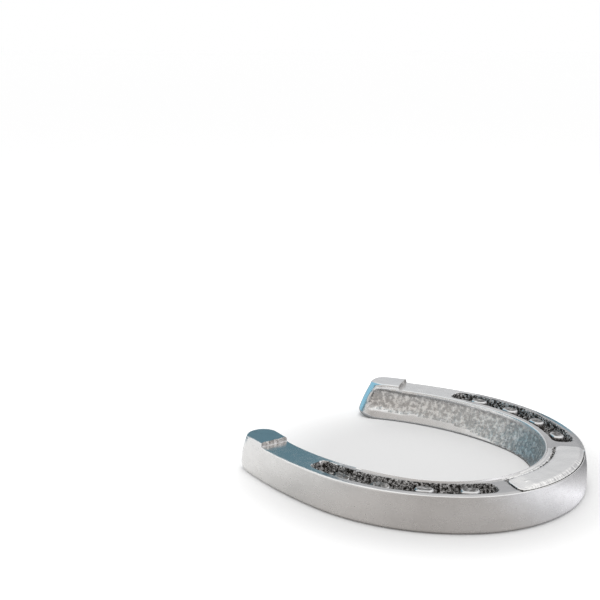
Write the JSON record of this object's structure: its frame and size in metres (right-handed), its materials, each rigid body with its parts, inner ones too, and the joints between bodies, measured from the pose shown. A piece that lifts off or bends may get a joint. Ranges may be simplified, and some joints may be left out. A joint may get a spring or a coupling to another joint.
{
  "type": "horseshoe",
  "caption": "Cast horseshoe with a nail groove along each branch, domed nails, a toe plate and raised heel calks.",
  "frame": {"origin": "middle of the rectangle that the shoe covers on the surface it lies on, at the foot side", "axes": "+X towards the toe, +Y towards the left branch, +Z out of the ground side"},
  "size_m": [0.1259, 0.1222, 0.016],
  "materials": {
    "web_metal": "polished casting, left sand-rough in the grooves and along the inner wall",
    "plate_metal": "polished flat, with a ragged bevel",
    "calk_metal": "polished flat, with a ragged step",
    "nail_metal": "worn domes, darker where they meet the groove"
  },
  "bodies": {
    "root": {"shoe_body": "web_metal", "toe_plate": "plate_metal", "heel_calk_left": "calk_metal", "heel_calk_right": "calk_metal", "nail_left_1": "nail_metal", "nail_left_2": "nail_metal", "nail_left_3": "nail_metal", "nail_left_4": "nail_metal", "nail_right_1": "nail_metal", "nail_right_2": "nail_metal", "nail_right_3": "nail_metal", "nail_right_4": "nail_metal"}
  },
  "joints": []
}
